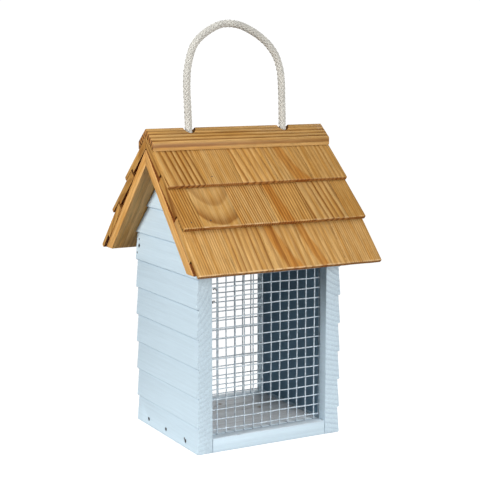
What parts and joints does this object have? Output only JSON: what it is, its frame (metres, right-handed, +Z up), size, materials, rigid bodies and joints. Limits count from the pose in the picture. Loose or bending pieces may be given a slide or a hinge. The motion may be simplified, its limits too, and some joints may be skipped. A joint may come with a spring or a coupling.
{
  "type": "hanging bird feeder",
  "caption": "Hut-shaped hanging nut feeder: clapboard side walls, wire mesh front and back, and a shingled roof that slides up its rope.",
  "frame": {"origin": "middle of the base's underside", "axes": "+X along the ridge, -Y the front mesh, +Z up"},
  "size_m": [0.126, 0.1428, 0.2619],
  "materials": {
    "painted_wood": "powder-blue satin paint on pine",
    "stained_pine": "honey-brown stained pine, satin",
    "bare_wood": "unfinished, matte",
    "galvanised_wire": "hot-dip galvanised, satin",
    "nail_steel": "plain steel, slightly dull",
    "cotton_rope": "braided cotton, matte"
  },
  "bodies": {
    "house": {"bar_nail_left": "nail_steel", "bar_nail_right": "nail_steel", "base_board": "painted_wood", "base_nail_left_1": "nail_steel", "base_nail_left_2": "nail_steel", "base_nail_left_3": "nail_steel", "base_nail_right_1": "nail_steel", "base_nail_right_2": "nail_steel", "base_nail_right_3": "nail_steel", "front_mesh": "galvanised_wire", "front_top_rail": "painted_wood", "hanger_bar": "bare_wood", "left_wall": "painted_wood", "rail_nail_left_front": "nail_steel", "rail_nail_left_rear": "nail_steel", "rail_nail_right_front": "nail_steel", "rail_nail_right_rear": "nail_steel", "rear_mesh": "galvanised_wire", "rear_top_rail": "painted_wood", "right_wall": "painted_wood", "rope": "cotton_rope", "rope_knot_left": "cotton_rope", "rope_knot_right": "cotton_rope"},
    "roof": {"ridge_cap_front": "stained_pine", "ridge_cap_rear": "stained_pine", "roof_panel_front": "stained_pine", "roof_panel_rear": "stained_pine", "shingle_front_eave_1": "stained_pine", "shingle_front_eave_2": "stained_pine", "shingle_front_eave_3": "stained_pine", "shingle_front_eave_4": "stained_pine", "shingle_front_eave_5": "stained_pine", "shingle_front_middle_1": "stained_pine", "shingle_front_middle_2": "stained_pine", "shingle_front_middle_3": "stained_pine", "shingle_front_middle_4": "stained_pine", "shingle_front_middle_5": "stained_pine", "shingle_front_middle_6": "stained_pine", "shingle_front_top_1": "stained_pine", "shingle_front_top_2": "stained_pine", "shingle_front_top_3": "stained_pine", "shingle_front_top_4": "stained_pine", "shingle_front_top_5": "stained_pine", "shingle_rear_eave_1": "stained_pine", "shingle_rear_eave_2": "stained_pine", "shingle_rear_eave_3": "stained_pine", "shingle_rear_eave_4": "stained_pine", "shingle_rear_eave_5": "stained_pine", "shingle_rear_middle_1": "stained_pine", "shingle_rear_middle_2": "stained_pine", "shingle_rear_middle_3": "stained_pine", "shingle_rear_middle_4": "stained_pine", "shingle_rear_middle_5": "stained_pine", "shingle_rear_middle_6": "stained_pine", "shingle_rear_top_1": "stained_pine", "shingle_rear_top_2": "stained_pine", "shingle_rear_top_3": "stained_pine", "shingle_rear_top_4": "stained_pine", "shingle_rear_top_5": "stained_pine"}
  },
  "joints": [
    {"name": "roof_lift", "type": "slide", "parent": "house", "child": "roof", "axis": [0, 0, 1], "range_m": [0, 0.032]}
  ]
}
